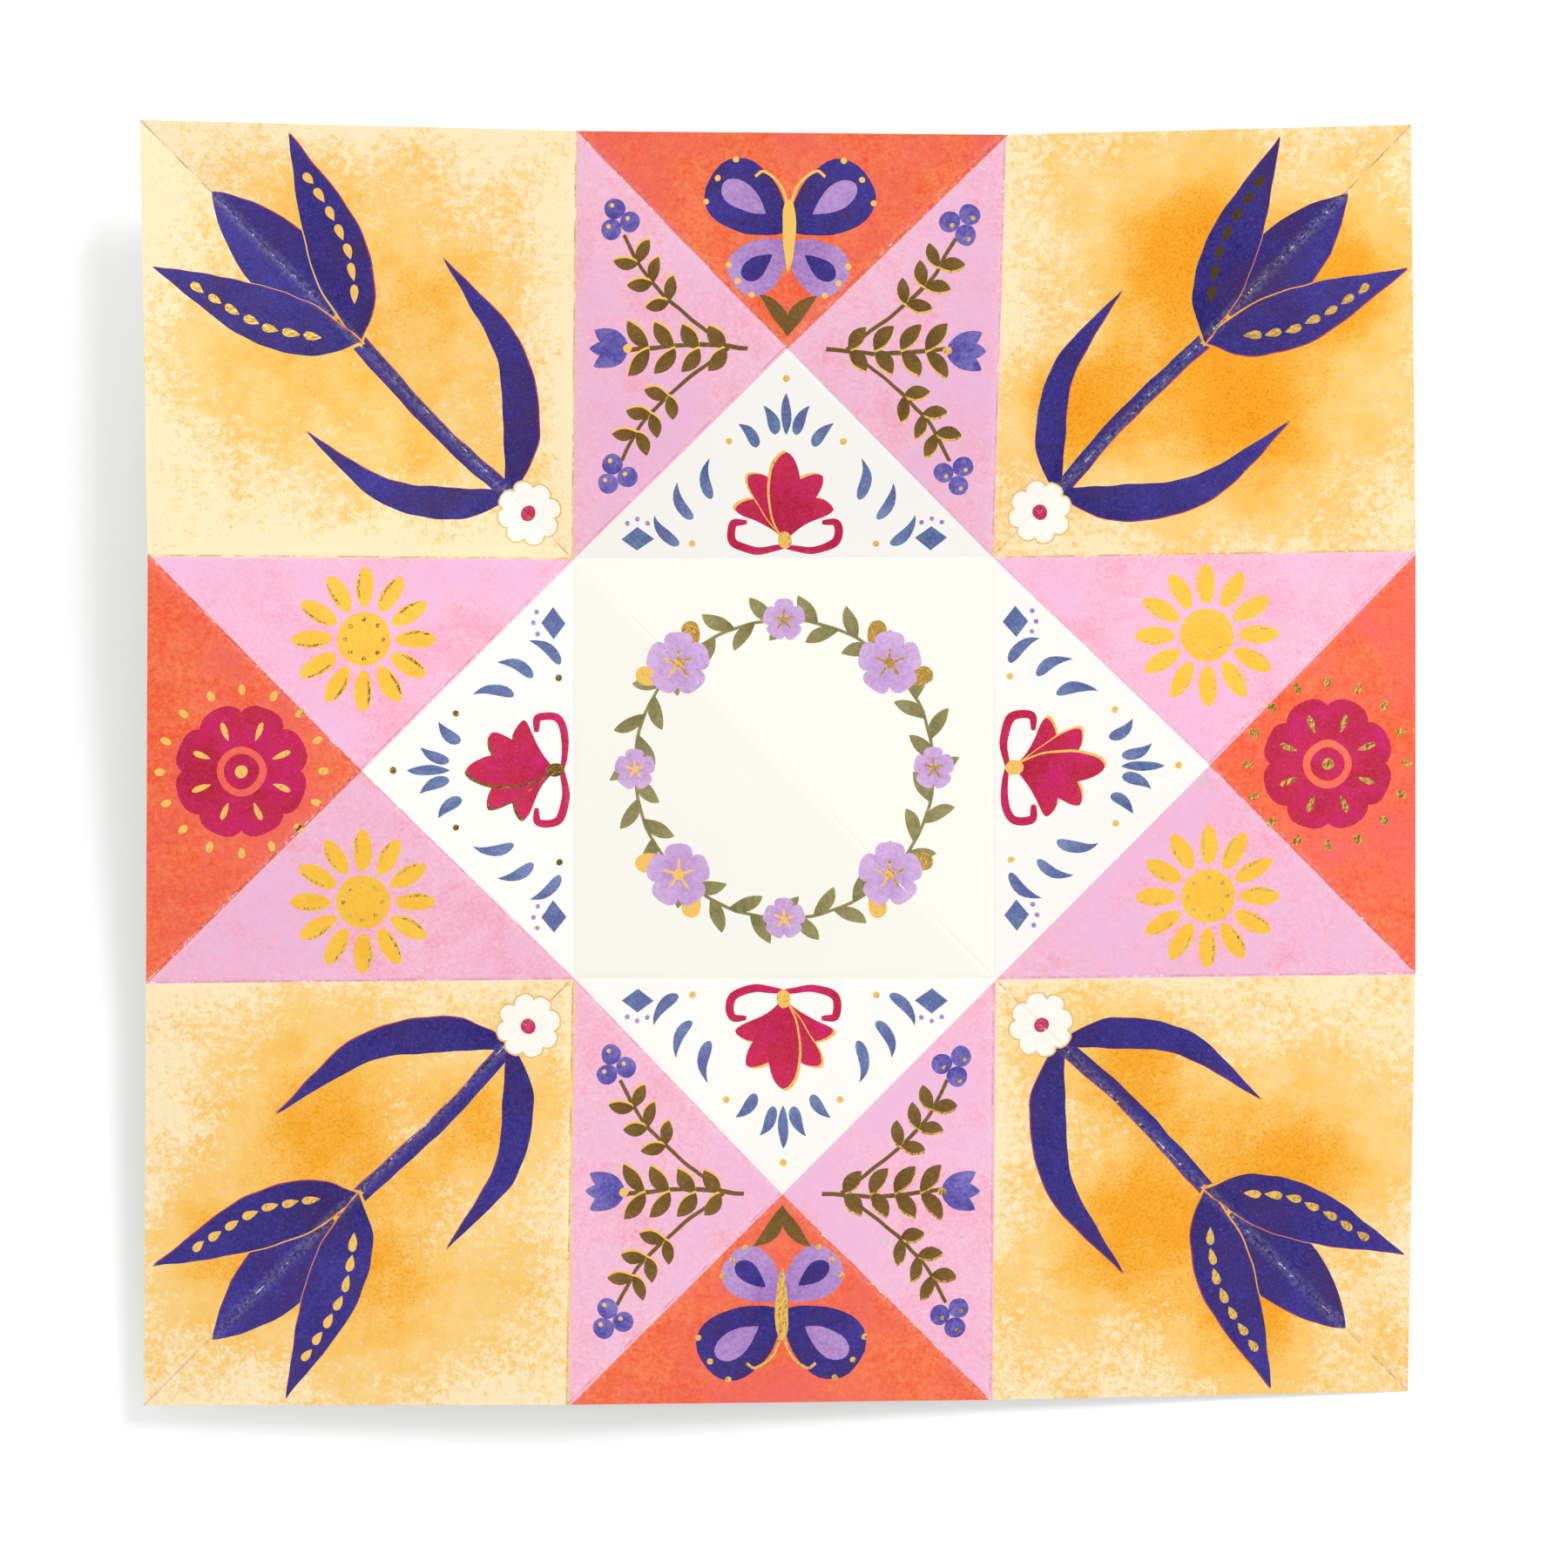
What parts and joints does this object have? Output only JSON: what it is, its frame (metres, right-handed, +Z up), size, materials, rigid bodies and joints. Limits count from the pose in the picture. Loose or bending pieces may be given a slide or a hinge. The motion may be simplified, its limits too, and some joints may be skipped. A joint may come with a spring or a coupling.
{
  "type": "folded pocket note",
  "caption": "Square sheet of printed paper, creased in thirds and slantwise so that it folds to a pocket packet, lying opened out.",
  "frame": {"origin": "on the table, under the middle of the sheet's outline", "axes": "+Z up from the table, +X to the reader's right, +Y away from the reader; the printed side faces +Z"},
  "size_m": [0.2282, 0.2292, 0.0252],
  "materials": {
    "printed_paper": "matte"
  },
  "bodies": {
    "root": {"note_sheet": "printed_paper"}
  },
  "joints": []
}
